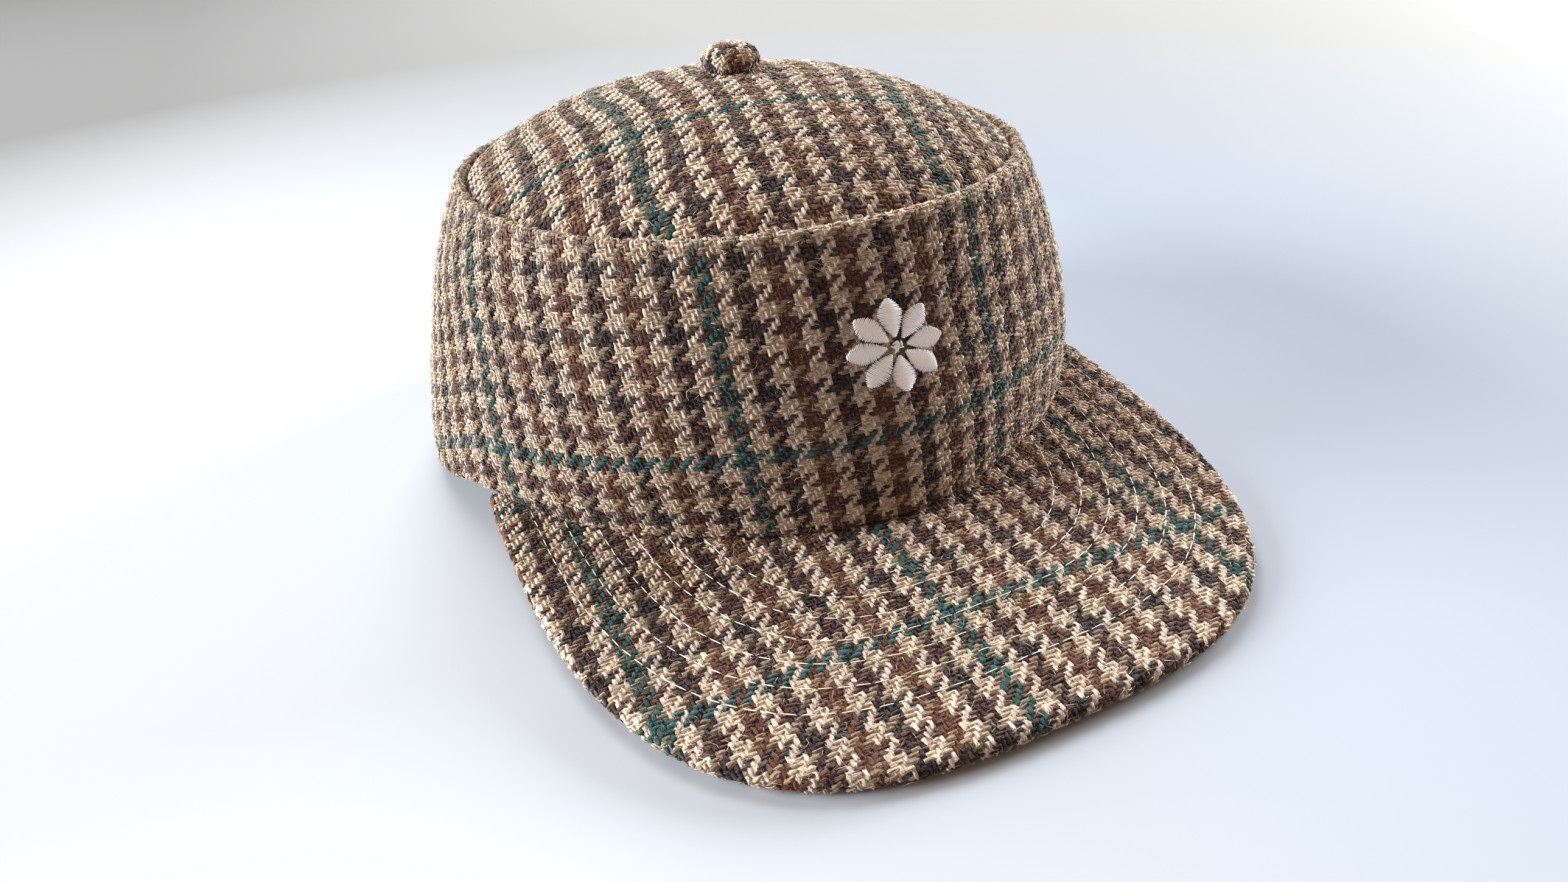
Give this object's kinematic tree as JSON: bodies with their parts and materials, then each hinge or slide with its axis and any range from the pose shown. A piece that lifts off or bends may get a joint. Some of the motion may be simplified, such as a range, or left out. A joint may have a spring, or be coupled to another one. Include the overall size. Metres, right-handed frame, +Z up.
{
  "type": "flat-topped tweed cap with peak",
  "caption": "Soft cap with an upright side band, a domed top set inside a rolled seam, a covered button and a wide flat peak.",
  "frame": {"origin": "middle of the cap's length and width, on the table that it rests on", "axes": "+Z up, the peak points to -Y, the back of the cap to +Y"},
  "size_m": [0.2008, 0.2478, 0.1044],
  "materials": {
    "band_tweed": "woollen houndstooth tweed, cream with charcoal and brown and a teal overcheck",
    "top_tweed": "woollen houndstooth tweed, cream with charcoal and brown and a teal overcheck",
    "button_tweed": "woollen houndstooth tweed drawn over a button",
    "peak_tweed": "woollen houndstooth tweed, stiffened and topstitched in pale thread"
  },
  "bodies": {
    "root": {"side_band": "band_tweed", "top_panel": "top_tweed", "crown_button": "button_tweed", "peak": "peak_tweed"}
  },
  "joints": []
}
